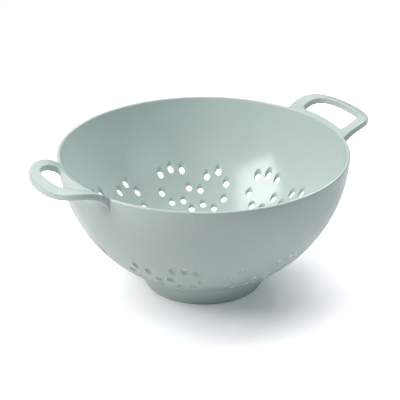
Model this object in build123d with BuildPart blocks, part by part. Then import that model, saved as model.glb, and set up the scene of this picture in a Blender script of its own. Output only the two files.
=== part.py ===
"""Colander: a round bowl with drain holes, a foot ring and two rising loop handles"""
import os
from math import hypot, sqrt

from build123d import *

os.makedirs("parts", exist_ok=True)

# Bowl
rim_radius = 122.0                      # outside radius of the rim
rim_height = 119.2                      # top of the rim above the floor
wall = 2.8                              # thickness of the wall and the base
base_radius = 32.9                      # edge of the flat base, underneath
base_clearance = 7.0                    # underside of the flat base above the floor
rim_round_share = 0.45                  # rounding of the rim, of the wall
rim_round = wall * rim_round_share
depth = rim_height - base_clearance
rise_over_base = (rim_radius**2 - base_radius**2 + depth**2) / (depth + depth)
arc_radius = hypot(base_radius, rise_over_base)  # one arc from the base's edge to the rim
arc_height = base_clearance + rise_over_base

# Drain holes, all bored straight down
hole_radius = 2.85
rings_round_bowl = 7
base_ring_holes = 7
base_ring_share = 0.0967                # from the bowl's axis to the base's holes, of the rim radius
upper_ring_reach_share = 0.7516         # from the bowl's axis to an upper ring, of the rim radius
upper_ring_start = 22.6                 # degrees from the right handle
upper_ring_out_shares = (0.0770, 0.0566, -0.0328, -0.0869, -0.0861, -0.0230, 0.0648)
upper_ring_side_shares = (0.0057, 0.0869, 0.1016, 0.0402, -0.0443, -0.1049, -0.0770)
lower_ring_reach_share = 0.7156
lower_ring_start = 0.2
lower_ring_out_shares = (0.0713, 0.0, -0.0787, -0.0984, -0.0426, 0.0385, 0.0959)
lower_ring_side_shares = (0.0566, 0.0959, 0.0689, -0.0123, -0.0787, -0.0877, -0.0254)
single_hole_reach_share = 0.6148        # one more hole beside each pair of rings
single_hole_start = 14.0

# Foot ring
foot_radius = 48.6                      # outside radius at the floor
foot_top_radius = 60.0                  # where the flank meets the bowl
foot_land = 3.4                         # width of the ring on the floor
foot_blend = 5.0                        # fillet between the foot and the bowl
foot_inner_blend = 1.5
foot_edge = 0.8                         # rounding of the edges on the floor

# Handles
handle_reach = 33.5                     # from the rim to the tip
handle_half_width = 41.0
handle_fullness_share = 0.664           # squareness of the outline, of its corner
opening_reach = 24.0                    # from the rim to the far side of the opening
opening_half_width = 29.4
opening_fullness_share = 0.72
opening_corner = 3.0                    # rounding of the opening's corners beside the bowl
web = 1.8                               # strip between the rim and the opening
handle_thickness = 5.5
crest_reach = 20.8                      # highest line of the arched plate, from the rim
crest_rise = 8.7                        # its height above the rim
root_blend = 16.0                       # fillet under the handle, against the bowl
handle_edge = 1.0                       # rounding of the handle's edges


def bowl_section(radius, foot_of_section, top):
    """Half section of a solid bowl: an arc of the given radius, flat at the bottom and the top."""
    bottom_radius = sqrt(radius**2 - (arc_height - foot_of_section) ** 2)
    top_radius = sqrt(radius**2 - (arc_height - top) ** 2)
    with BuildSketch(Plane.XZ) as section:
        with BuildLine():
            Polyline((top_radius, top), (0, top), (0, foot_of_section), (bottom_radius, foot_of_section))
            RadiusArc((bottom_radius, foot_of_section), (top_radius, top), -radius)
        make_face()
    return section.sketch


def bowl_hull():
    """Solid that fills the bowl, with the outside of its wall and the rounded edge of its rim."""
    with BuildPart() as hull:
        with BuildSketch(Plane.XZ):
            add(bowl_section(arc_radius, base_clearance, rim_height))
            rim_corner = vertices().group_by(Axis.Y)[-1].sort_by(Axis.X)[-1]
            fillet(rim_corner, rim_round)
        revolve(axis=Axis.Z)
    return hull.part


def ring_spots(out_shares, side_shares):
    """Places of a ring's holes from its centre, outward and sideways, as shares of the rim radius."""
    return [(rim_radius * out, rim_radius * side) for out, side in zip(out_shares, side_shares)]


def drain_holes():
    """Face with the outline of every drain hole, seen from above."""
    upper_reach = rim_radius * upper_ring_reach_share
    lower_reach = rim_radius * lower_ring_reach_share
    single_reach = rim_radius * single_hole_reach_share
    upper_spots = ring_spots(upper_ring_out_shares, upper_ring_side_shares)
    lower_spots = ring_spots(lower_ring_out_shares, lower_ring_side_shares)
    with BuildSketch() as holes:
        with PolarLocations(upper_reach, rings_round_bowl, start_angle=upper_ring_start):
            with Locations(*upper_spots):
                Circle(hole_radius)
        with PolarLocations(lower_reach, rings_round_bowl, start_angle=lower_ring_start):
            with Locations(*lower_spots):
                Circle(hole_radius)
        with PolarLocations(single_reach, rings_round_bowl, start_angle=single_hole_start):
            Circle(hole_radius)
        with PolarLocations(rim_radius * base_ring_share, base_ring_holes):
            Circle(hole_radius)
    return holes.sketch


def loop_outline(reach, half_width, fullness, bend_start):
    """Outline of a loop seen from above: square-shouldered at the tip, straight back from bend_start."""
    tip = rim_radius + reach
    inner_end = rim_radius - handle_reach
    shoulder = bend_start + (tip - bend_start) * fullness
    with BuildSketch() as outline:
        with BuildLine():
            Line((inner_end, 0), (inner_end, half_width))
            Line((inner_end, half_width), (bend_start, half_width))
            Bezier((bend_start, half_width), (shoulder, half_width), (tip, half_width * fullness), (tip, 0))
            mirror(about=Plane.XZ)
        make_face()
    return outline.sketch


def opening_outline():
    """Outline of the loop's opening: it follows the rim, with rounded corners there."""
    rim_side = rim_radius + web
    with BuildSketch() as outline:
        add(loop_outline(opening_reach, opening_half_width, opening_fullness_share, rim_side + opening_corner))
        Circle(rim_side, mode=Mode.SUBTRACT)
        fillet(outline.vertices().group_by(Axis.X)[0], opening_corner)
    return outline.sketch


def handle_section():
    """Half section of the arched plate joined to the bowl, with the blend beneath it."""
    root_run = crest_reach + rim_round
    arch_radius = (root_run**2 + crest_rise**2) / (crest_rise + crest_rise)
    arch_centre = (rim_radius + crest_reach, rim_height + crest_rise - arch_radius)
    under_radius = arch_radius - handle_thickness
    root_depth = handle_thickness + handle_thickness + wall
    with BuildSketch(Plane.XZ) as section:
        with Locations(arch_centre):
            Circle(arch_radius)
            Circle(under_radius, mode=Mode.SUBTRACT)
        with Locations((arch_centre[0] - under_radius, rim_height - root_depth)):
            Rectangle(
                under_radius + handle_reach, arch_radius, align=(Align.MIN, Align.MIN), mode=Mode.INTERSECT
            )
        add(bowl_section(arc_radius, base_clearance, rim_height - rim_round))
        junction = (rim_radius, rim_height - handle_thickness - rim_round)
        fillet(section.vertices().sort_by_distance(junction)[0], root_blend)
    return section.sketch


def handle():
    """Handle on the +X side."""
    with BuildPart() as loop:
        with BuildSketch(Plane.XY.offset(rim_height - handle_reach)):
            add(loop_outline(handle_reach, handle_half_width, handle_fullness_share, rim_radius))
            add(opening_outline(), mode=Mode.SUBTRACT)
        extrude(amount=handle_reach + handle_reach)
        revolve(handle_section(), axis=Axis.Z, mode=Mode.INTERSECT)
        sides = loop.faces().filter_by(GeomType.EXTRUSION) + loop.faces().filter_by(Plane.XZ)
        plate_edges = loop.faces().filter_by(GeomType.TORUS).edges() & sides.edges()
        fillet(plate_edges, handle_edge)
        add(bowl_hull(), mode=Mode.SUBTRACT)
    return loop.part


with BuildPart() as bowl:
    add(bowl_hull())
    with BuildSketch(Plane.XZ):
        add(bowl_section(arc_radius - wall, base_clearance + wall, rim_height))
    revolve(axis=Axis.Z, mode=Mode.SUBTRACT)
    inner_rim = bowl.edges().filter_by(GeomType.CIRCLE).group_by(Axis.Z)[-1].sort_by(SortBy.RADIUS)[0]
    fillet(inner_rim, rim_round)
    with BuildSketch():
        add(drain_holes())
    extrude(amount=rim_height, mode=Mode.SUBTRACT)
bowl.part.label = "bowl"
export_step(bowl.part, "parts/bowl.step")

with BuildPart() as foot_ring:
    foot_top = arc_height - sqrt(arc_radius**2 - foot_top_radius**2)
    flare = (foot_top_radius - foot_radius) / foot_top
    with BuildSketch(Plane.XZ) as foot_section:
        with BuildLine():
            Polyline(
                (foot_radius - foot_land, 0),
                (foot_radius, 0),
                (foot_top_radius + wall * flare, foot_top + wall),
                (foot_radius - foot_land, foot_top + wall),
                close=True,
            )
        make_face()
        fillet(foot_section.vertices().group_by(Axis.Y)[0], foot_edge)
        add(bowl_section(arc_radius, base_clearance, rim_height))
        outer_junction = foot_section.vertices().sort_by_distance((foot_top_radius, foot_top))[0]
        fillet(outer_junction, foot_blend)
        inner_junction = foot_section.vertices().sort_by_distance((foot_radius - foot_land, foot_top))[0]
        fillet(inner_junction, foot_inner_blend)
        add(bowl_section(arc_radius, base_clearance, rim_height), mode=Mode.SUBTRACT)
    revolve(axis=Axis.Z)
foot_ring.part.label = "foot_ring"
export_step(foot_ring.part, "parts/foot_ring.step")

with BuildPart() as right_handle:
    add(handle())
right_handle.part.label = "right_handle"
export_step(right_handle.part, "parts/right_handle.step")

with BuildPart() as left_handle:
    add(handle().mirror(Plane.YZ))
left_handle.part.label = "left_handle"
export_step(left_handle.part, "parts/left_handle.step")
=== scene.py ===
"""Colander in pale sage melamine: a drilled bowl, its foot ring and two rising loop handles."""

from __future__ import annotations

import logging
import math
from dataclasses import dataclass, field
from enum import Enum
from typing import Callable, Sequence

import bmesh
import bpy
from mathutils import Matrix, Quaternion, Vector
from mathutils.kdtree import KDTree


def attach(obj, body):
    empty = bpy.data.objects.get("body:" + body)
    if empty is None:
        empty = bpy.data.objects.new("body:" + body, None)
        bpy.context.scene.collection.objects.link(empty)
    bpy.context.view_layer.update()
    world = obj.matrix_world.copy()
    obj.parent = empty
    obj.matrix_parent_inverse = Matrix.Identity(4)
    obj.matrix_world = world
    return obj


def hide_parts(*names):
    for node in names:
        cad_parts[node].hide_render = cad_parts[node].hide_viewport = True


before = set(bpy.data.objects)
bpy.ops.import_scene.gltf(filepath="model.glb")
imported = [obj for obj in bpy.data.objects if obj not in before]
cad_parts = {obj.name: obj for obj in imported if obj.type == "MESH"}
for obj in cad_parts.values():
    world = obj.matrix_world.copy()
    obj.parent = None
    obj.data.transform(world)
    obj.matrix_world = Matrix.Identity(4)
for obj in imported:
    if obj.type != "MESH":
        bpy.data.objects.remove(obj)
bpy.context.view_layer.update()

log = logging.getLogger("colander")

Pair = tuple[float, float]
Profile = list[Pair]
Colour = tuple[float, float, float]
Spot = tuple[float, float, float]
Socket = bpy.types.NodeSocket
MM = 0.001
SAME_PLACE = 1e-7
WHITE: Colour = (1.0, 1.0, 1.0)


class Side(Enum):
    """Which end of the bowl a handle stands at: its sign along X."""

    RIGHT = 1
    LEFT = -1


def arc_points(
    centre: Pair, radius: float, start: float, end: float, steps: int
) -> Profile:
    """Points of a circular arc in a section.

    Args:
        centre: Centre of the arc, as reach from the axis and height.
        radius: Radius of the arc.
        start: Angle of the first point in degrees, from straight outward.
        end: Angle of the last point in degrees.
        steps: Number of equal steps between the two.

    Returns:
        The points, both ends included.
    """
    turns = [math.radians(start + (end - start) * k / steps) for k in range(steps + 1)]
    return [(centre[0] + radius * math.cos(t), centre[1] + radius * math.sin(t)) for t in turns]


def smooth_mesh(name: str, bm: bmesh.types.BMesh) -> bpy.types.Object:
    """Turns a finished bmesh, which is freed, into a smooth-shaded object at the origin."""
    for face in bm.faces:
        face.smooth = True
    mesh = bpy.data.meshes.new(name)
    bm.to_mesh(mesh)
    bm.free()
    piece = bpy.data.objects.new(name, mesh)
    bpy.context.scene.collection.objects.link(piece)
    return piece


def turned_solid(name: str, section: Profile, steps: int, closed: bool) -> bpy.types.Object:
    """Spins a section about the upright axis into a closed shell.

    Args:
        name: Name of the piece.
        section: Points of the section as reach and height, in order.
        steps: Number of steps in the full turn.
        closed: True if the section is a loop, False if both its ends lie on the axis.

    Returns:
        The turned piece, with its faces pointing outwards.
    """
    bm = bmesh.new()
    points = [bm.verts.new((reach, 0.0, height)) for reach, height in section]
    edges = [bm.edges.new(pair) for pair in zip(points, points[1:])]
    if closed:
        edges.append(bm.edges.new((points[-1], points[0])))
    bmesh.ops.spin(
        bm,
        geom=points + edges,
        cent=(0.0, 0.0, 0.0),
        axis=(0.0, 0.0, 1.0),
        angle=math.tau,
        steps=steps,
        use_merge=True,
        use_duplicate=False,
    )
    bmesh.ops.remove_doubles(bm, verts=bm.verts, dist=SAME_PLACE)
    bmesh.ops.recalc_face_normals(bm, faces=bm.faces)
    return smooth_mesh(name, bm)


def ringed_shell(
    bm: bmesh.types.BMesh, rings: Sequence[Sequence[Vector]], capped: bool
) -> None:
    """Grows a shell from one circle, ring after ring.

    Args:
        bm: The mesh that the shell is added to.
        rings: Places of every ring's points; all the rings have as many.
        capped: True closes the two ends with a face each, False joins the last ring to the first.
    """
    start = bmesh.ops.create_circle(bm, cap_ends=False, radius=1.0, segments=len(rings[0]))
    verts = start["verts"]
    for vert, place in zip(verts, rings[0]):
        vert.co = place
    first = [bm.edges.get((verts[k], verts[k - 1])) for k in range(len(verts))]
    ring = first
    for places in rings[1:]:
        grown = bmesh.ops.extrude_edge_only(bm, edges=ring)["geom"]
        new_verts = [part for part in grown if isinstance(part, bmesh.types.BMVert)]
        partner = {}
        for vert in new_verts:
            for edge in vert.link_edges:
                other = edge.other_vert(vert)
                if other not in partner and other not in new_verts:
                    partner[other] = vert
        verts = [partner[vert] for vert in verts]
        for vert, place in zip(verts, places):
            vert.co = place
        ring = [bm.edges.get((verts[k], verts[k - 1])) for k in range(len(verts))]
    if capped:
        bmesh.ops.edgeloop_fill(bm, edges=first)
        bmesh.ops.edgeloop_fill(bm, edges=ring)
    else:
        bmesh.ops.bridge_loops(bm, edges=first + ring)


class NodeBoard:
    """Adds the few kinds of shader node that the finish and the studio are made of."""

    def __init__(self, tree: bpy.types.NodeTree) -> None:
        """Takes the node tree of a material or a world."""
        self.nodes = tree.nodes
        self.links = tree.links

    def noise(self, place: Socket, waves: float, detail: float) -> Socket:
        """Adds a noise with its waves in a metre and the number of its finer layers."""
        node = self.nodes.new("ShaderNodeTexNoise")
        node.inputs["Scale"].default_value = waves
        node.inputs["Detail"].default_value = detail
        self.links.new(place, node.inputs["Vector"])
        return node.outputs["Fac"]

    def stretch(self, value: Socket, span: Pair, onto: Pair, curve: str = "LINEAR") -> Socket:
        """Adds a node that stretches a span of a value onto another, along a kind of curve."""
        node = self.nodes.new("ShaderNodeMapRange")
        node.interpolation_type = curve
        for name, number in zip(("From Min", "From Max", "To Min", "To Max"), (*span, *onto)):
            node.inputs[name].default_value = number
        self.links.new(value, node.inputs["Value"])
        return node.outputs["Result"]

    def tints(self, share: Socket, low: Colour, high: Colour) -> Socket:
        """Adds a mix of two colours, with the second one's share."""
        node = self.nodes.new("ShaderNodeMix")
        node.data_type = "RGBA"
        node.inputs["A"].default_value = (*low, 1.0)
        node.inputs["B"].default_value = (*high, 1.0)
        self.links.new(share, node.inputs["Factor"])
        return node.outputs["Result"]

    def shaded(self, colour: Socket, shade: Socket) -> Socket:
        """Adds a colour times a shade, where a shade of 1 leaves it as it is."""
        node = self.nodes.new("ShaderNodeMix")
        node.data_type = "RGBA"
        node.blend_type = "MULTIPLY"
        node.inputs["Factor"].default_value = 1.0
        self.links.new(colour, node.inputs["A"])
        self.links.new(shade, node.inputs["B"])
        return node.outputs["Result"]

    def relief(self, height: Socket, distance: float) -> bpy.types.Node:
        """Adds a bump of the given height in metres, and returns its node."""
        node = self.nodes.new("ShaderNodeBump")
        node.inputs["Strength"].default_value = 1.0
        node.inputs["Distance"].default_value = distance
        self.links.new(height, node.inputs["Height"])
        return node


@dataclass(frozen=True)
class Melamine:
    """Glossy moulded melamine: one tint with the faint flow marks and ripple of the press.

    Attributes:
        tint: Base colour, linear.
        deep_tint: Colour of the faint darker clouds in the moulding.
        ior: Index of refraction of the surface.
        polish: Roughness of the best polished places.
        dull: Roughness of the dullest places.
        ripple: Height of the surface's slow ripple, in metres.
        grain: Height of its fine grain, in metres.
        clouds: Waves in a metre and finer layers of the clouds.
        specks: The same of the fine specks and the grain.
        wipes: The same of the polished and dull places.
        swells: The same of the slow ripple.
        cloud_span: Values of the clouds between the deep tint and the base colour.
        speck_span: Values of the specks between their shade and none.
        speck_shade: Shade of the specks, where 1 is none.
        wipe_span: Values of the wipes between polished and dull.
    """

    tint: Colour = (0.585, 0.672, 0.640)
    deep_tint: Colour = (0.569, 0.658, 0.626)
    ior: float = 1.56
    polish: float = 0.17
    dull: float = 0.25
    ripple: float = 0.00005
    grain: float = 0.000004
    clouds: Pair = (14.0, 3.0)
    specks: Pair = (420.0, 2.0)
    wipes: Pair = (48.0, 4.0)
    swells: Pair = (38.0, 1.0)
    cloud_span: Pair = (0.35, 0.60)
    speck_span: Pair = (0.30, 0.70)
    speck_shade: float = 0.975
    wipe_span: Pair = (0.30, 0.75)

    def material(self, name: str) -> bpy.types.Material:
        """Builds the node material, under the given name."""
        made = bpy.data.materials.new(name)
        made.use_nodes = True
        board = NodeBoard(made.node_tree)
        links = board.links
        shader = board.nodes["Principled BSDF"]
        shader.inputs["IOR"].default_value = self.ior
        place = board.nodes.new("ShaderNodeTexCoord").outputs["Object"]

        clouds = board.noise(place, *self.clouds)
        specks = board.noise(place, *self.specks)
        cloud_mask = board.stretch(clouds, self.cloud_span, (0.0, 1.0))
        clouded = board.tints(cloud_mask, self.deep_tint, self.tint)
        shade = board.stretch(specks, self.speck_span, (self.speck_shade, 1.0))
        links.new(board.shaded(clouded, shade), shader.inputs["Base Color"])

        wipes = board.noise(place, *self.wipes)
        gloss = board.stretch(wipes, self.wipe_span, (self.polish, self.dull))
        links.new(gloss, shader.inputs["Roughness"])

        swell = board.relief(board.noise(place, *self.swells), self.ripple)
        skin = board.relief(specks, self.grain)
        links.new(swell.outputs["Normal"], skin.inputs["Normal"])
        links.new(skin.outputs["Normal"], shader.inputs["Normal"])
        return made


@dataclass(frozen=True)
class BowlArc:
    """Section that the bowl shares with its foot and handles.

    Attributes:
        rim_radius: Outside radius of the rim.
        rim_height: Top of the rim above the floor.
        wall: Thickness of the wall.
        base_radius: Edge of the flat base, underneath.
        base_clearance: Underside of the flat base above the floor.
        rim_round: Rounding of the rim's two edges.
        base_blend: Radius that softens the base's edge, inside and out.
        turn_steps: Steps in a full turn, the same for every turned piece.
    """

    rim_radius: float = 122.0 * MM
    rim_height: float = 119.2 * MM
    wall: float = 2.8 * MM
    base_radius: float = 32.9 * MM
    base_clearance: float = 7.0 * MM
    rim_round: float = 1.26 * MM
    base_blend: float = 14.0 * MM
    turn_steps: int = 192

    @property
    def rise(self) -> float:
        """Height of the arc's centre above the base's underside."""
        depth = self.rim_height - self.base_clearance
        return (self.rim_radius**2 - self.base_radius**2 + depth**2) / (2.0 * depth)

    @property
    def centre_height(self) -> float:
        """Height of the arc's centre above the floor."""
        return self.base_clearance + self.rise

    @property
    def outer_radius(self) -> float:
        """Radius of the outside of the wall, in section."""
        return math.hypot(self.base_radius, self.rise)

    @property
    def inner_radius(self) -> float:
        """Radius of the inside of the wall, in section."""
        return self.outer_radius - self.wall

    def height(self, reach: float, radius: float) -> float:
        """Height above the floor of the arc of the given radius, at a reach from the axis."""
        return self.centre_height - math.sqrt(radius**2 - reach**2)

    def away(self, place: Vector) -> Vector:
        """Direction from the arc's centre to a place, which is the wall's outward normal there."""
        return (place - Vector((0.0, 0.0, self.centre_height))).normalized()


@dataclass(frozen=True)
class DrainPattern:
    """Rings of seven drain holes round the bowl, single holes between, and a ring in the base.

    Attributes:
        radius: Radius of a hole.
        mouth: Rounding of a hole's two mouths.
        rings: Rings of a family round the bowl, and holes in the base.
        upper: Reach of the upper rings and angle of the first one, in degrees.
        upper_out: From an upper ring's middle to its holes, outward from the axis, in millimetres.
        upper_side: The same, sideways.
        lower: Reach of the lower rings and angle of the first one, in degrees.
        lower_out: From a lower ring's middle to its holes, outward from the axis, in millimetres.
        lower_side: The same, sideways.
        single: Reach of the single holes and angle of the first one, in degrees.
        base_reach: Reach of the base's holes.
    """

    radius: float = 2.85 * MM
    mouth: float = 0.5 * MM
    rings: int = 7
    upper: Pair = (91.70 * MM, 22.6)
    upper_out: tuple[float, ...] = (9.39, 6.91, -4.00, -10.60, -10.50, -2.81, 7.91)
    upper_side: tuple[float, ...] = (0.70, 10.60, 12.40, 4.90, -5.40, -12.80, -9.39)
    lower: Pair = (87.30 * MM, 0.2)
    lower_out: tuple[float, ...] = (8.70, 0.0, -9.60, -12.00, -5.20, 4.70, 11.70)
    lower_side: tuple[float, ...] = (6.91, 11.70, 8.41, -1.50, -9.60, -10.70, -3.10)
    single: Pair = (75.0 * MM, 14.0)
    base_reach: float = 11.8 * MM

    def centres(self) -> list[Vector]:
        """Middle of every hole, seen from above and at floor height."""
        places = []
        for k in range(self.rings):
            turn = 360.0 * k / self.rings
            places.append(self._place(self.base_reach, 0.0, turn))
            places.append(self._place(self.single[0], 0.0, self.single[1] + turn))
            for (reach, start), outs, sides in (
                (self.upper, self.upper_out, self.upper_side),
                (self.lower, self.lower_out, self.lower_side),
            ):
                places += [
                    self._place(reach + out * MM, side * MM, start + turn)
                    for out, side in zip(outs, sides)
                ]
        return places

    @staticmethod
    def _place(out: float, side: float, angle: float) -> Vector:
        """Place at floor height, out and sideways along a direction given in degrees."""
        turn = math.radians(angle)
        along, across = math.cos(turn), math.sin(turn)
        return Vector((out * along - side * across, out * across + side * along, 0.0))


@dataclass
class Bowl:
    """The bowl: a turned shell that every drain hole is bored through.

    Attributes:
        arc: The bowl's section.
        drains: The pattern of drain holes.
        wall_steps: Steps along each face of the wall, from the base to the rim.
        hole_steps: Sides of a hole.
        rim_steps: Steps of each of the rim's two roundings.
        blend_steps: Steps of the blend at the base's edge.
        flat_shares: Where the flat base has its points, as shares of its reach.
        mouth_turns: Angles of the rings that round a hole's mouth, in degrees from its wall's face.
        lead: How far a cutter flares beyond the wall's face.
        rim_margin: How far below the rim's rounding the mesh keeps its own normals.
        edge_start: Share of the base's radius from which it keeps them round the base's edge.
        edge_band: How far beyond the base's edge it keeps them.
        slack: Room for a point that should lie on the edge of a hole's mouth.
        wall_share: Share of a mouth's rounding from which a point counts as the hole's own wall.
    """

    arc: BowlArc = field(default_factory=BowlArc)
    drains: DrainPattern = field(default_factory=DrainPattern)
    wall_steps: int = 46
    hole_steps: int = 24
    rim_steps: int = 6
    blend_steps: int = 4
    flat_shares: tuple[float, ...] = (0.0, 0.3, 0.65)
    mouth_turns: tuple[float, ...] = (22.0, 45.0, 67.0, 90.0)
    lead: float = 0.3 * MM
    rim_margin: float = 0.1 * MM
    edge_start: float = 0.8
    edge_band: float = 3.0 * MM
    slack: float = 0.001 * MM
    wall_share: float = 0.999

    def build(self) -> bpy.types.Object:
        """Turns the shell, bores the holes and sets the true normals."""
        shell = turned_solid("bowl_shell", self._section(), self.arc.turn_steps, closed=False)
        cutters = self._cutters()
        bore = shell.modifiers.new("bore", "BOOLEAN")
        bore.operation = "DIFFERENCE"
        bore.solver = "EXACT"
        bore.object = cutters
        graph = bpy.context.evaluated_depsgraph_get()
        mesh = bpy.data.meshes.new_from_object(shell.evaluated_get(graph))
        mesh.name = "bowl_shell"
        shell.modifiers.clear()
        shell.data = mesh
        bpy.data.objects.remove(cutters)
        self._set_normals(mesh)
        return shell

    def _section(self) -> Profile:
        """Section of the shell, from the middle of its inside to the middle of its underside."""
        arc = self.arc
        floor_inside = arc.base_clearance + arc.wall
        inner = self._face(arc.inner_radius, floor_inside)
        outer = self._face(arc.outer_radius, arc.base_clearance)
        round_height = arc.rim_height - arc.rim_round
        drop = arc.centre_height - round_height
        inner_reach = math.sqrt((arc.inner_radius + arc.rim_round) ** 2 - drop**2)
        outer_reach = math.sqrt((arc.outer_radius - arc.rim_round) ** 2 - drop**2)
        lean = math.degrees(math.atan2(drop, inner_reach))
        inner_round = arc_points(
            (inner_reach, round_height), arc.rim_round, 180.0 - lean, 90.0, self.rim_steps
        )
        outer_round = arc_points(
            (outer_reach, round_height), arc.rim_round, 90.0, -lean, self.rim_steps
        )
        return inner + inner_round + outer_round + outer[::-1]

    def _face(self, radius: float, flat: float) -> Profile:
        """Points of the wall's face of that radius, from the flat base's middle to the rim."""
        arc = self.arc
        blend_radius = radius - arc.base_blend
        blend_height = flat + arc.base_blend
        blend_reach = math.sqrt(blend_radius**2 - (arc.centre_height - blend_height) ** 2)
        lean = math.degrees(math.atan2(blend_reach, arc.centre_height - blend_height))
        centre = (0.0, arc.centre_height)
        flat_part = [(blend_reach * share, flat) for share in self.flat_shares]
        blend = arc_points(
            (blend_reach, blend_height), arc.base_blend, -90.0, lean - 90.0, self.blend_steps
        )
        drop = arc.centre_height - arc.rim_height + arc.rim_round
        top = -math.degrees(math.asin(drop / radius))
        wall = arc_points(centre, radius, lean - 90.0, top, self.wall_steps)
        return flat_part + blend + wall[1:-1]

    def _cutters(self) -> bpy.types.Object:
        """Makes the upright cutters, each flared where it meets a face of the wall."""
        arc, drains = self.arc, self.drains
        bm = bmesh.new()
        turns = [math.tau * k / self.hole_steps for k in range(self.hole_steps)]
        spokes = [Vector((math.cos(turn), math.sin(turn), 0.0)) for turn in turns]
        steps = [
            (drains.mouth * (1.0 - math.sin(turn)), drains.mouth * (1.0 - math.cos(turn)))
            for turn in map(math.radians, self.mouth_turns)
        ]
        flare = (steps[0][0] + self.lead, -self.lead)
        for centre in drains.centres():
            rings = []
            for depth_sign, radius, flat in (
                (-1.0, arc.inner_radius, arc.base_clearance + arc.wall),
                (1.0, arc.outer_radius, arc.base_clearance),
            ):
                side = []
                for widening, depth in (flare, *steps):
                    ring = []
                    for spoke in spokes:
                        place = centre + spoke * (drains.radius + widening)
                        face = max(flat, arc.height(math.hypot(place.x, place.y), radius))
                        place.z = face + depth_sign * depth
                        ring.append(place)
                    side.append(ring)
                rings += side if depth_sign < 0.0 else side[::-1]
            ringed_shell(bm, rings, capped=True)
        bmesh.ops.recalc_face_normals(bm, faces=bm.faces)
        return smooth_mesh("bowl_cutters", bm)

    def _set_normals(self, mesh: bpy.types.Mesh) -> None:
        """Gives every point of the bored shell the normal of the true surface."""
        centres = self.drains.centres()
        holes = KDTree(len(centres))
        for index, centre in enumerate(centres):
            holes.insert(centre, index)
        holes.balance()
        normals = [tuple(self._true_normal(vert, holes)) for vert in mesh.vertices]
        mesh.normals_split_custom_set_from_vertices(normals)

    def _true_normal(self, vert: bpy.types.MeshVertex, holes: KDTree) -> Vector:
        """Normal of the true surface at a point of the bored shell.

        Args:
            vert: The point.
            holes: The middles of the drain holes, at floor height.

        Returns:
            The normal, which is the mesh's own at the rim and round the base's edge.
        """
        arc, mouth = self.arc, self.drains.mouth
        place = vert.co
        reach = math.hypot(place.x, place.y)
        near_rim = place.z > arc.rim_height - arc.rim_round - self.rim_margin
        edge_start = self.edge_start * arc.base_radius
        if near_rim or edge_start < reach < arc.base_radius + self.edge_band:
            return vert.normal
        if reach < arc.base_radius:
            underneath = place.z < arc.base_clearance + arc.wall / 2.0
            face = Vector((0.0, 0.0, -1.0 if underneath else 1.0))
        else:
            away = arc.away(place)
            middle = (arc.inner_radius + arc.outer_radius) / 2.0
            outside = (place - Vector((0.0, 0.0, arc.centre_height))).length > middle
            face = away if outside else -away
        flat_place = Vector((place.x, place.y, 0.0))
        centre, _, gap = holes.find(flat_place)
        widening = gap - self.drains.radius
        widest = mouth * (1.0 - math.sin(math.radians(self.mouth_turns[0]))) + self.slack
        if widening < widest:
            share = max(0.0, min(1.0, 1.0 - widening / mouth))
            turn = math.asin(share)
            inward = (centre - flat_place).normalized()
            face = face * math.cos(turn) + inward * math.sin(turn)
            if share > self.wall_share:
                face = inward
        return face.normalized()


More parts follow.
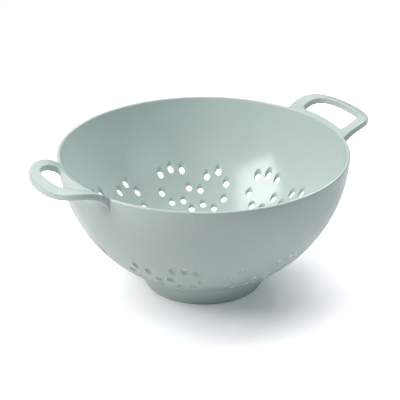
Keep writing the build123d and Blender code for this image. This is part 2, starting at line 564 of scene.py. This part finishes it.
@dataclass
class FootRing:
    """The ring that the bowl stands on, flared up to the bowl's underside.

    Attributes:
        arc: The bowl's section.
        radius: Outside radius on the floor.
        top_radius: Where the flank meets the bowl.
        land: Width of the ring on the floor.
        blend: Radius of the blend between the flank and the bowl.
        inner_blend: Radius of the blend inside the ring.
        edge: Rounding of the two edges on the floor.
        sink: How far the ring's top is let into the bowl's wall.
        beyond: How far outside the flank's top the hidden top reaches.
        within: How far inside the ring's inner wall it reaches.
        flank_start: Share of the flank where its straight points start.
        flank_run: Share of the flank that they cover.
        edge_steps: Steps of the small roundings.
        blend_steps: Steps of the blend outside.
        flank_steps: Steps along the flank.
    """

    arc: BowlArc = field(default_factory=BowlArc)
    radius: float = 48.6 * MM
    top_radius: float = 60.0 * MM
    land: float = 3.4 * MM
    blend: float = 5.0 * MM
    inner_blend: float = 1.5 * MM
    edge: float = 0.8 * MM
    sink: float = 0.6 * MM
    beyond: float = 3.0 * MM
    within: float = 2.5 * MM
    flank_start: float = 0.12
    flank_run: float = 0.72
    edge_steps: int = 5
    blend_steps: int = 6
    flank_steps: int = 4

    def build(self) -> bpy.types.Object:
        """Turns the ring from its section."""
        arc = self.arc
        inner = self.radius - self.land
        top = arc.height(self.top_radius, arc.outer_radius)
        slope = math.atan2(top, self.top_radius - self.radius)
        flank = (math.cos(slope), math.sin(slope))
        lean = math.asin(self.top_radius / arc.outer_radius)
        along = (math.cos(lean), math.sin(lean))
        down = (-flank[0], -flank[1])
        small = (self.edge, self.edge_steps)
        section = self._corner((inner, 0.0), (0.0, 1.0), (1.0, 0.0), *small)
        section += self._corner((self.radius, 0.0), (-1.0, 0.0), flank, *small)
        section += self._flank(slope)
        section += self._corner((self.top_radius, top), down, along, self.blend, self.blend_steps)
        hidden = arc.outer_radius - self.sink
        section += [
            (reach, arc.height(reach, hidden))
            for reach in (
                self.top_radius + self.beyond,
                self.top_radius,
                (inner + self.top_radius) / 2.0,
                inner - self.within,
            )
        ]
        joint = arc.height(inner, arc.outer_radius)
        tilt = math.asin(inner / arc.outer_radius)
        inward = (-math.cos(tilt), -math.sin(tilt))
        section += self._corner(
            (inner, joint), inward, (0.0, -1.0), self.inner_blend, self.edge_steps
        )
        return turned_solid("foot_ring_turned", section, arc.turn_steps, closed=True)

    def _flank(self, slope: float) -> Profile:
        """Points along the straight flank, between its two rounded ends."""
        run = self.top_radius - self.radius
        steps = self.flank_steps
        shares = [self.flank_start + self.flank_run * k / steps for k in range(steps + 1)]
        return [(self.radius + run * s, run * s * math.tan(slope)) for s in shares]

    @staticmethod
    def _corner(
        corner: Pair,
        back: Pair,
        onward: Pair,
        radius: float,
        steps: int,
    ) -> Profile:
        """Rounds a corner of a section.

        Args:
            corner: The sharp corner.
            back: Unit direction from the corner towards the point before it.
            onward: Unit direction from the corner towards the point after it.
            radius: Radius of the rounding.
            steps: Steps of the rounding.

        Returns:
            The points of the rounding, in order.
        """
        cosine = back[0] * onward[0] + back[1] * onward[1]
        half = math.acos(max(-1.0, min(1.0, cosine))) / 2.0
        leg = radius / math.tan(half)
        bisector = (back[0] + onward[0], back[1] + onward[1])
        length = math.hypot(*bisector)
        to_centre = radius / math.sin(half) / length
        centre = (corner[0] + bisector[0] * to_centre, corner[1] + bisector[1] * to_centre)
        first, last = (
            math.atan2(corner[1] + way[1] * leg - centre[1], corner[0] + way[0] * leg - centre[0])
            for way in (back, onward)
        )
        turn = (last - first + math.pi) % math.tau - math.pi
        return arc_points(centre, radius, math.degrees(first), math.degrees(first + turn), steps)


@dataclass
class LoopHandle:
    """A loop handle that rises from the rim: an arched plate with a finger opening.

    Attributes:
        side: The end of the bowl that it stands at.
        arc: The bowl's section.
        reach: From the rim to the tip.
        half_width: Half the handle's width.
        fullness: Squareness of its outline's corners.
        opening_reach: From the rim to the far side of the opening.
        opening_half_width: Half the opening's width.
        opening_fullness: Squareness of the opening's far corners.
        opening_corner: Rounding of the opening's corners beside the bowl.
        web: Strip between the rim and the opening.
        thickness: Thickness of the plate.
        crest_reach: Highest line of the plate, from the rim.
        crest_rise: Its height above the rim.
        root_blend: Radius under the handle, against the bowl.
        edge: Rounding of the plate's edges.
        sweep: Where the top has risen from the rim to the plate's arch, from the rim.
        buried: How deep the plate's hidden side lies in the bowl's wall.
        dip: How far under the rim's top the sweep starts, inside the wall.
        start_slope: Slope of the sweep at its start.
        fade: Width over which the plate's outer edge melts into the rim.
        spacing: Longest distance between two stations of the outline.
        widening: How fast the stations spread from where they are closest.
        free_stations: Where along the free side they are closest, and their spacing there.
        hidden_stations: The same along the side inside the wall.
        even_over: Distance to each side over which the directions round a corner are softened.
        slack: Room for a station that should lie on the hidden side.
        edge_steps: Steps of the edge's rounding.
        band_steps: Steps across the flat of the plate.
        corner_steps: Steps of the opening's corner beside the bowl.
        rim_steps: Steps along the rim, from that corner to the middle.
        bend_steps: Steps of the bend round the tip.
    """

    side: Side
    arc: BowlArc = field(default_factory=BowlArc)
    reach: float = 33.5 * MM
    half_width: float = 41.0 * MM
    fullness: float = 0.664
    opening_reach: float = 24.0 * MM
    opening_half_width: float = 29.4 * MM
    opening_fullness: float = 0.72
    opening_corner: float = 3.0 * MM
    web: float = 1.8 * MM
    thickness: float = 5.5 * MM
    crest_reach: float = 20.8 * MM
    crest_rise: float = 8.7 * MM
    root_blend: float = 16.0 * MM
    edge: float = 1.0 * MM
    sweep: float = 2.0 * MM
    buried: float = 2.1 * MM
    dip: float = 0.15 * MM
    start_slope: float = 0.43
    fade: float = 5.0 * MM
    spacing: float = 1.2 * MM
    widening: float = 0.15
    free_stations: Pair = (1.95 * MM, 0.15 * MM)
    hidden_stations: Pair = (0.0, 0.12 * MM)
    even_over: float = 0.6 * MM
    slack: float = 0.01 * MM
    edge_steps: int = 5
    band_steps: int = 9
    corner_steps: int = 24
    rim_steps: int = 60
    bend_steps: int = 160

    def build(self) -> bpy.types.Object:
        """Grows the loop from its opening outwards over the top and back underneath."""
        opening, outline = self._matched_outlines()
        opening_in = self._inward(opening, -1.0)
        outline_in = self._inward(outline, 1.0)
        sharp = [self._free_share(place) for place in outline]
        rings = []
        for on_top in (True, False):
            band = self._band(opening, opening_in, outline, outline_in, sharp)
            for ring in band if on_top else band[::-1]:
                rings.append([self._raised(place, drop, on_top) for place, drop in ring])
        bm = bmesh.new()
        ringed_shell(bm, rings, capped=False)
        bmesh.ops.recalc_face_normals(bm, faces=bm.faces)
        return smooth_mesh(f"{self.side.name.lower()}_handle_loop", bm)

    def _band(
        self,
        opening: list[Vector],
        opening_in: list[Vector],
        outline: list[Vector],
        outline_in: list[Vector],
        sharp: list[float],
    ) -> list[list[tuple[Vector, float]]]:
        """Rings of one face of the plate, from the opening to the outline.

        Args:
            opening: Stations of the opening.
            opening_in: Directions from the opening into the plate.
            outline: Stations of the outline.
            outline_in: Directions from the outline into the plate.
            sharp: How far each station of the outline is a free edge, from 0 to 1.

        Returns:
            Rings of places seen from above, each with its drop at a rounded edge.
        """
        turns = [math.radians(90.0 * k / self.edge_steps) for k in range(self.edge_steps + 1)]
        rounding = [
            (self.edge * (1.0 - math.cos(turn)), self.edge * (1.0 - math.sin(turn)))
            for turn in turns
        ]
        near = [
            [(place + way * inset, drop) for place, way in zip(opening, opening_in)]
            for inset, drop in rounding
        ]
        far = [
            [
                (place + way * inset, drop * free)
                for place, way, free in zip(outline, outline_in, sharp)
            ]
            for inset, drop in rounding
        ]
        between = [
            [
                (start.lerp(end, k / self.band_steps), 0.0)
                for (start, _), (end, _) in zip(near[-1], far[-1])
            ]
            for k in range(1, self.band_steps)
        ]
        return near + between + far[::-1]

    def _raised(self, place: Vector, drop: float, on_top: bool) -> Vector:
        """Lifts a place seen from above onto the plate, brought in by the edge's rounding."""
        reach = math.hypot(place.x, place.y)
        height = self._top(reach) - drop if on_top else self._under(reach) + drop
        return Vector((place.x * self.side.value, place.y, height))

    @property
    def _arch(self) -> tuple[float, float, float]:
        """Centre and radius of the plate's arched top, in section."""
        run = self.crest_reach + self.arc.rim_round
        radius = (run**2 + self.crest_rise**2) / (2.0 * self.crest_rise)
        crest = self.arc.rim_height + self.crest_rise
        return self.arc.rim_radius + self.crest_reach, crest - radius, radius

    def _top(self, reach: float) -> float:
        """Height of the plate's top: it sweeps up from the rim's inner rounding to the arch."""
        middle, height, radius = self._arch
        end = self.arc.rim_radius + self.sweep
        if reach >= end:
            return height + math.sqrt(radius**2 - (reach - middle) ** 2)
        lift = math.sqrt(radius**2 - (end - middle) ** 2)
        end_height = height + lift
        end_slope = (middle - end) / lift
        start = self.arc.rim_radius - self.buried
        start_height = self.arc.rim_height - self.dip
        run = end - start
        t = (reach - start) / run
        return (
            (2 * t**3 - 3 * t**2 + 1) * start_height
            + (t**3 - 2 * t**2 + t) * run * self.start_slope
            + (3 * t**2 - 2 * t**3) * end_height
            + (t**3 - t**2) * run * end_slope
        )

    def _under(self, reach: float) -> float:
        """Height of the plate's underside, with its blend down the bowl's wall."""
        middle, height, radius = self._arch
        radius -= self.thickness
        blend_reach, blend_height = self._blend_centre(middle, height, radius)
        rise = self.arc.centre_height - blend_height
        wall_reach = blend_reach * self.arc.outer_radius / math.hypot(blend_reach, rise)
        join = middle + (blend_reach - middle) * radius / (radius - self.root_blend)
        if reach >= join:
            return height + math.sqrt(radius**2 - (reach - middle) ** 2)
        if reach >= wall_reach:
            return blend_height + math.sqrt(
                max(0.0, self.root_blend**2 - (reach - blend_reach) ** 2)
            )
        foot = blend_height + math.sqrt(self.root_blend**2 - (wall_reach - blend_reach) ** 2)
        return foot - (wall_reach - reach)

    def _blend_centre(self, middle: float, height: float, radius: float) -> Pair:
        """Centre of the blend between the bowl's wall and the underside, an arc given likewise."""
        inner = radius - self.root_blend
        outer = self.arc.outer_radius + self.root_blend
        gap = math.hypot(middle, height - self.arc.centre_height)
        along = (gap**2 + outer**2 - inner**2) / (2.0 * gap)
        across = math.sqrt(outer**2 - along**2)
        ahead = (middle / gap, (height - self.arc.centre_height) / gap)
        return (
            ahead[0] * along - ahead[1] * across,
            self.arc.centre_height + ahead[1] * along + ahead[0] * across,
        )

    def _matched_outlines(self) -> tuple[list[Vector], list[Vector]]:
        """Stations of the opening and of the outline, matched one to one round the loop."""
        free_opening, rim_opening = self._half_opening()
        free_outline, hidden_outline = self._half_outline()
        free = self._stations(self._length(free_outline), *self.free_stations)
        hidden = self._stations(self._length(hidden_outline), *self.hidden_stations)
        pairs = []
        for shares, near, far in (
            (hidden[::-1], rim_opening, hidden_outline),
            (free[1:], free_opening, free_outline),
        ):
            pairs += [(self._along(near, s), self._along(far, s)) for s in shares]
        flip = Vector((1.0, -1.0, 1.0))
        mirrored = [(near * flip, far * flip) for near, far in pairs[-2:0:-1]]
        both = pairs + mirrored
        return [near for near, _ in both], [far for _, far in both]

    def _half_opening(self) -> tuple[list[Vector], list[Vector]]:
        """The opening's +Y half, from its corner beside the bowl to its tip and along the rim."""
        rim_side = self.arc.rim_radius + self.web
        corner = self.opening_corner
        across = self.opening_half_width - corner
        centre = Vector((math.sqrt((rim_side + corner) ** 2 - across**2), across, 0.0))
        touch = math.atan2(centre.y, centre.x)
        start, end = touch + math.pi, math.pi / 2.0
        steps = self.corner_steps
        turns = [start + (end - start) * k / steps for k in range(steps + 1)]
        rounding = [centre + Vector((math.cos(t), math.sin(t), 0.0)) * corner for t in turns]
        bend = Vector((rim_side + corner, self.opening_half_width, 0.0))
        tip = self.arc.rim_radius + self.opening_reach
        loop = self._bend(bend, tip, self.opening_fullness)
        along = self._round_the_axis(rim_side, touch)[1:]
        half = steps // 2
        return rounding[half:] + loop, rounding[half::-1] + along

    def _half_outline(self) -> tuple[list[Vector], list[Vector]]:
        """The outline's +Y half, from its corner inside the wall to its tip and inside the wall."""
        buried = self.arc.rim_radius - self.buried
        corner = Vector((math.sqrt(buried**2 - self.half_width**2), self.half_width, 0.0))
        bend = Vector((self.arc.rim_radius, self.half_width, 0.0))
        loop = self._bend(bend, self.arc.rim_radius + self.reach, self.fullness)
        hidden = self._round_the_axis(buried, math.asin(self.half_width / buried))
        return [corner] + loop, hidden

    def _round_the_axis(self, radius: float, start: float) -> list[Vector]:
        """Points of an arc round the bowl's axis, from an angle in radians back to +X."""
        turns = [start * (1.0 - k / self.rim_steps) for k in range(self.rim_steps + 1)]
        return [Vector((radius * math.cos(t), radius * math.sin(t), 0.0)) for t in turns]

    def _bend(self, start: Vector, tip: float, fullness: float) -> list[Vector]:
        """Curve from the end of a straight side to the middle of the tip, as close points."""
        shoulder = start.x + (tip - start.x) * fullness
        legs = (
            start,
            Vector((shoulder, start.y, 0.0)),
            Vector((tip, start.y * fullness, 0.0)),
            Vector((tip, 0.0, 0.0)),
        )
        curve = []
        for k in range(self.bend_steps + 1):
            t = k / self.bend_steps
            weights = ((1 - t) ** 3, 3 * t * (1 - t) ** 2, 3 * t * t * (1 - t), t**3)
            curve.append(sum((leg * w for leg, w in zip(legs, weights)), Vector()))
        return curve

    def _stations(self, length: float, dense: float, finest: float) -> list[float]:
        """Shares of a length that lie closest together round one spot, at a given spacing."""
        marks = [0.0]
        while marks[-1] < length:
            gap = abs(marks[-1] - dense)
            marks.append(marks[-1] + min(self.spacing, finest + self.widening * gap))
        return [mark / marks[-1] for mark in marks]

    @staticmethod
    def _length(curve: list[Vector]) -> float:
        """Length of a curve given by its points."""
        return sum((b - a).length for a, b in zip(curve, curve[1:]))

    @classmethod
    def _along(cls, curve: list[Vector], share: float) -> Vector:
        """Place at a share of a curve's length."""
        left = share * cls._length(curve)
        for a, b in zip(curve, curve[1:]):
            step = (b - a).length
            if left <= step and step > 0.0:
                return a.lerp(b, left / step)
            left -= step
        return curve[-1].copy()

    def _inward(self, loop: list[Vector], sense: float) -> list[Vector]:
        """Directions square to a closed loop, softened round its corners.

        Args:
            loop: Stations of the loop, seen from above.
            sense: 1 for the directions to the loop's inside, -1 for its outside.

        Returns:
            A unit direction for every station.
        """
        count = len(loop)
        ways = []
        for k in range(count):
            back, ahead = k, k
            while (loop[back] - loop[k]).length < self.even_over:
                back = (back - 1) % count
            while (loop[ahead] - loop[k]).length < self.even_over:
                ahead = (ahead + 1) % count
            onward = (loop[ahead] - loop[back]).normalized()
            ways.append(Vector((onward.y, -onward.x, 0.0)) * sense)
        area = sum(a.x * b.y - b.x * a.y for a, b in zip(loop, loop[1:] + loop[:1]))
        turn = -1.0 if area > 0.0 else 1.0
        return [way * turn for way in ways]

    def _free_share(self, place: Vector) -> float:
        """How far a place of the outline is a free edge: 1 outside the wall, fading to 0 in it."""
        buried = self.arc.rim_radius - self.buried
        if math.hypot(place.x, place.y) > buried + self.slack:
            return 1.0
        share = (abs(place.y) - self.half_width + self.fade) / self.fade
        share = max(0.0, min(1.0, share))
        return share * share * (3.0 - 2.0 * share)


@dataclass(frozen=True)
class Softbox:
    """One softbox of the studio.

    Attributes:
        name: Name of the lamp.
        turn: Direction in degrees from straight behind the bowl, clockwise seen from above.
        rise: Height of its middle above the bowl, in degrees.
        gap: Distance from the bowl.
        width: Its width.
        height: Its height.
        glow: Brightness of its face, where 1 is white.
        roll: Turn about its own middle, in degrees.
        tint: Colour of its light.
    """

    name: str
    turn: float
    rise: float
    gap: float
    width: float
    height: float
    glow: float
    roll: float = 0.0
    tint: Colour = WHITE


@dataclass
class Studio:
    """Plain pale floor, soft studio light and the camera.

    Attributes:
        camera_place: Where the camera stands.
        camera_target: What it looks at.
        lens: Focal length in millimetres.
        sensor: Width of the camera's sensor in millimetres.
        clip: Nearest and farthest distance that the camera sees.
        floor_size: Side of the floor.
        floor_roughness: Roughness of the floor, which has no gloss.
        floor_tint: Colour of the floor as light and in reflections.
        floor_sight_tint: Colour in which the camera sees the floor.
        floor_glow: White that the camera sees on top of the floor's own light, in the shadow and
        away from it: a painted glow, whose rise between the two paints out the shadow's outer part.
        shadow_middle: Middle of the shadow on the floor.
        shadow_edge: Distances from there over which the painted glow brightens the floor to white.
        surround: Strength of the white surroundings as light and in reflections.
        aim: Height of the point that the softboxes face.
        softboxes: The softboxes round the bowl.
    """

    camera_place: Spot = (-0.8209, -1.2885, 0.7815)
    camera_target: Spot = (-0.0026, 0.0016, 0.0739)
    lens: float = 180.0
    sensor: float = 36.0
    clip: Pair = (0.05, 50.0)
    floor_size: float = 1.0
    floor_roughness: float = 0.9
    floor_tint: Colour = (0.86, 0.86, 0.86)
    floor_sight_tint: Colour = WHITE
    floor_glow: Pair = (0.11, 0.44)
    shadow_middle: Spot = (0.0, -0.036, 0.0)
    shadow_edge: Pair = (0.055, 0.15)
    surround: float = 0.03
    aim: float = 0.08
    softboxes: tuple[Softbox, ...] = (
        Softbox("key_softbox", -109.0, 43.0, 1.3, 0.88, 0.80, glow=6.9, roll=-33.0),
        Softbox("left_panel", -78.0, 10.0, 1.4, 1.0, 0.8, glow=0.4),
        Softbox("back_softbox", 35.0, 52.0, 1.4, 1.0, 1.0, glow=4.7),
        Softbox("top_softbox", 45.0, 78.0, 1.4, 0.9, 0.9, glow=0.8),
        Softbox("side_panel", 124.0, 21.0, 1.3, 0.85, 0.9, glow=1.1, tint=(0.70, 0.87, 1.0)),
    )

    def build(self) -> None:
        """Lays the floor, sets the surroundings, hangs the softboxes and stands the camera."""
        self._lay_floor()
        self._set_surroundings()
        for softbox in self.softboxes:
            self._hang(softbox)
        self._stand_camera()

    def _lay_floor(self) -> None:
        """Lays the pale floor."""
        bm = bmesh.new()
        bmesh.ops.create_grid(bm, x_segments=1, y_segments=1, size=self.floor_size / 2.0)
        floor = smooth_mesh("floor", bm)
        floor.data.materials.append(self._floor_material())

    def _floor_material(self) -> bpy.types.Material:
        """Builds the floor's material: plain, pale, and white to the camera but for the shadow,
        whose outer part a painted glow whitens.
        """
        made = bpy.data.materials.new("pale_floor")
        made.use_nodes = True
        board = NodeBoard(made.node_tree)
        nodes, links = board.nodes, board.links
        shader = nodes["Principled BSDF"]
        shader.inputs["Roughness"].default_value = self.floor_roughness
        shader.inputs["Specular IOR Level"].default_value = 0.0
        seen = nodes.new("ShaderNodeLightPath").outputs["Is Camera Ray"]
        tint = board.tints(seen, self.floor_tint, self.floor_sight_tint)
        links.new(tint, shader.inputs["Base Color"])

        # Painted glow: camera-only white that grows with distance from the shadow's middle,
        # painting out the shadow's outer part.
        away = nodes.new("ShaderNodeVectorMath")
        away.operation = "DISTANCE"
        away.inputs[1].default_value = self.shadow_middle
        links.new(nodes.new("ShaderNodeTexCoord").outputs["Object"], away.inputs[0])
        white = board.stretch(
            away.outputs["Value"], self.shadow_edge, self.floor_glow, "SMOOTHSTEP"
        )
        strength = nodes.new("ShaderNodeMath")
        strength.operation = "MULTIPLY"
        links.new(seen, strength.inputs[0])
        links.new(white, strength.inputs[1])
        glow = nodes.new("ShaderNodeEmission")
        links.new(strength.outputs["Value"], glow.inputs["Strength"])
        both = nodes.new("ShaderNodeAddShader")
        links.new(shader.outputs["BSDF"], both.inputs[0])
        links.new(glow.outputs["Emission"], both.inputs[1])
        links.new(both.outputs["Shader"], nodes["Material Output"].inputs["Surface"])
        return made

    def _set_surroundings(self) -> None:
        """Makes the world white to the camera, and dim as light and in reflections."""
        world = bpy.data.worlds.new("surroundings")
        bpy.context.scene.world = world
        world.use_nodes = True
        nodes, links = world.node_tree.nodes, world.node_tree.links
        strength = nodes.new("ShaderNodeMix")
        strength.data_type = "FLOAT"
        strength.inputs["A"].default_value = self.surround
        strength.inputs["B"].default_value = 1.0
        seen = nodes.new("ShaderNodeLightPath").outputs["Is Camera Ray"]
        links.new(seen, strength.inputs["Factor"])
        background = nodes["Background"]
        background.inputs["Color"].default_value = (*WHITE, 1.0)
        links.new(strength.outputs["Result"], background.inputs["Strength"])

    def _hang(self, softbox: Softbox) -> None:
        """Hangs a softbox that faces the bowl."""
        lamp = bpy.data.lights.new(softbox.name, "AREA")
        lamp.shape = "RECTANGLE"
        lamp.size, lamp.size_y = softbox.width, softbox.height
        lamp.energy = softbox.glow * math.pi * softbox.width * softbox.height
        lamp.color = softbox.tint
        hung = bpy.data.objects.new(softbox.name, lamp)
        back = Vector(self.camera_target) - Vector(self.camera_place)
        heading = math.atan2(back.x, back.y) + math.radians(softbox.turn)
        lift = math.radians(softbox.rise)
        way = Vector(
            (math.sin(heading) * math.cos(lift), math.cos(heading) * math.cos(lift), math.sin(lift))
        )
        hung.location = Vector((0.0, 0.0, self.aim)) + way * softbox.gap
        facing = (-way).to_track_quat("-Z", "Y")
        roll = Quaternion((0.0, 0.0, 1.0), math.radians(softbox.roll))
        hung.rotation_euler = (facing @ roll).to_euler()
        bpy.context.scene.collection.objects.link(hung)

    def _stand_camera(self) -> None:
        """Stands the camera where the colander is seen from in front and a little above."""
        lens = bpy.data.cameras.new("camera")
        lens.lens = self.lens
        lens.sensor_width = self.sensor
        lens.clip_start, lens.clip_end = self.clip
        stand = bpy.data.objects.new("camera", lens)
        place, target = Vector(self.camera_place), Vector(self.camera_target)
        stand.location = place
        stand.rotation_euler = (target - place).to_track_quat("-Z", "Y").to_euler()
        bpy.context.scene.collection.objects.link(stand)
        bpy.context.scene.camera = stand
        bpy.context.scene.view_settings.view_transform = "Standard"


@dataclass
class Colander:
    """The whole colander: its four pieces, dressed and set on their nodes.

    Attributes:
        finish: The moulding's finish.
    """

    finish: Melamine = field(default_factory=Melamine)

    def build(self) -> None:
        """Builds every piece and gives it its finish."""
        moulding = self.finish.material("sage_melamine")
        makers: list[tuple[str, Callable[[], bpy.types.Object]]] = [
            ("bowl", Bowl().build),
            ("foot_ring", FootRing().build),
            ("right_handle", LoopHandle(Side.RIGHT).build),
            ("left_handle", LoopHandle(Side.LEFT).build),
        ]
        for node, make in makers:
            piece = make()
            piece.data.materials.clear()
            piece.data.materials.append(moulding)
            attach(piece, "root")
            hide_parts(node)
            log.info("%s: %d faces for node %s", piece.name, len(piece.data.polygons), node)


def main() -> None:
    """Builds the colander and its studio."""
    Colander().build()
    Studio().build()


if __name__ == "__main__":
    logging.basicConfig(level=logging.INFO, format="%(name)s: %(message)s")
    main()
